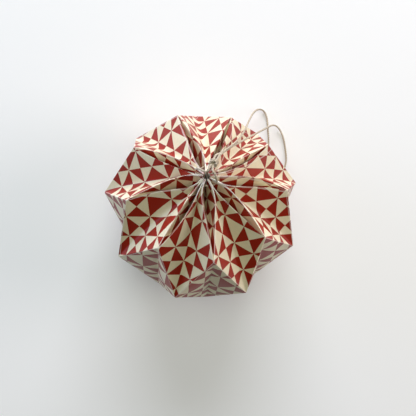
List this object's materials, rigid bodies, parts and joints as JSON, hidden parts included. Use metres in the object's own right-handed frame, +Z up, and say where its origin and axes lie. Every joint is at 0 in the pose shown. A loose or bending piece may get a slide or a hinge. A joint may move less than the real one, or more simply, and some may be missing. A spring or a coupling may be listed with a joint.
{
  "type": "folded paper ball",
  "caption": "Pleated ball folded from one patterned sheet, with deep grooves between its lobes, gathered at the top by a knotted cord that ends in a hanging loop",
  "frame": {"origin": "middle of the bounding box of the ball, on the surface it rests on", "axes": "+Z is up as the ball rests; its own axis leans about 24 degrees back towards +Y, and -Y is the side that faces the viewer"},
  "size_m": [0.0916, 0.1, 0.0723],
  "materials": {
    "printed_paper": "matt printed craft paper with a small tooth",
    "cotton_cord": "twisted cotton cord, undyed"
  },
  "bodies": {
    "root": {"folded_sheet": "printed_paper", "top_gather_cord": "cotton_cord", "top_knot": "cotton_cord", "hanging_loop": "cotton_cord"}
  },
  "joints": []
}
